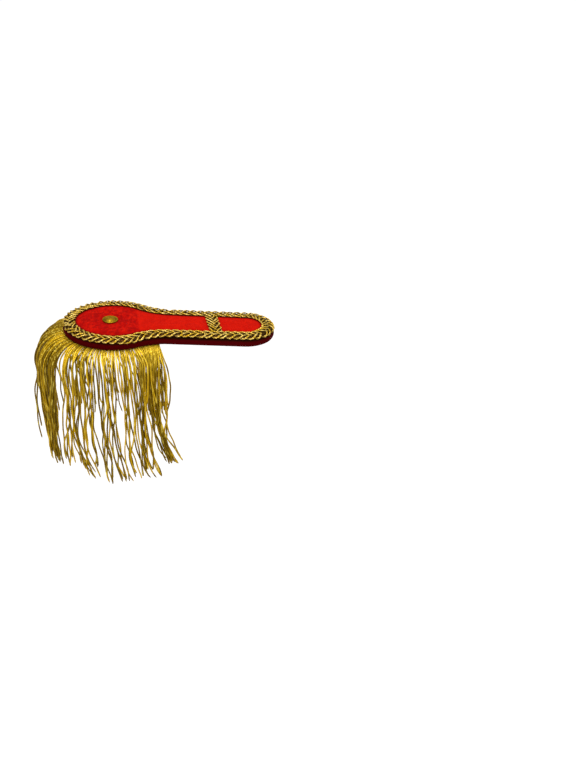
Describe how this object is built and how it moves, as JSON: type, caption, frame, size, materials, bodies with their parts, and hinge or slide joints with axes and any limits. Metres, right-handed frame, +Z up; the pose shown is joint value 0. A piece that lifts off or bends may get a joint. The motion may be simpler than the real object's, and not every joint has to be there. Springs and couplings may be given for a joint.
{
  "type": "bullion epaulette",
  "caption": "Padded red velvet epaulette with plaited gold gimp, a brass button on its round end and a long fringe of metal cords.",
  "frame": {"origin": "the board's flat underside, straight below the button's centre, where the epaulette sits on the shoulder", "axes": "+Z up out of the shoulder, +X along the strap from the round end to its tip, -Y the side seen from the front"},
  "size_m": [0.2234, 0.118, 0.1364],
  "materials": {
    "velvet": "red cotton velvet, brushed pile",
    "gimp": "plaited cords wrapped in pale gold wire",
    "button_brass": "old, dull brass",
    "cord": "twisted metal cord, bright old gold",
    "post_steel": "plain nickelled steel"
  },
  "bodies": {
    "root": {"velvet_board": "velvet", "border_gimp": "gimp", "cross_gimp": "gimp", "button": "button_brass", "cord_fringe": "cord", "shoulder_post": "post_steel"}
  },
  "joints": []
}
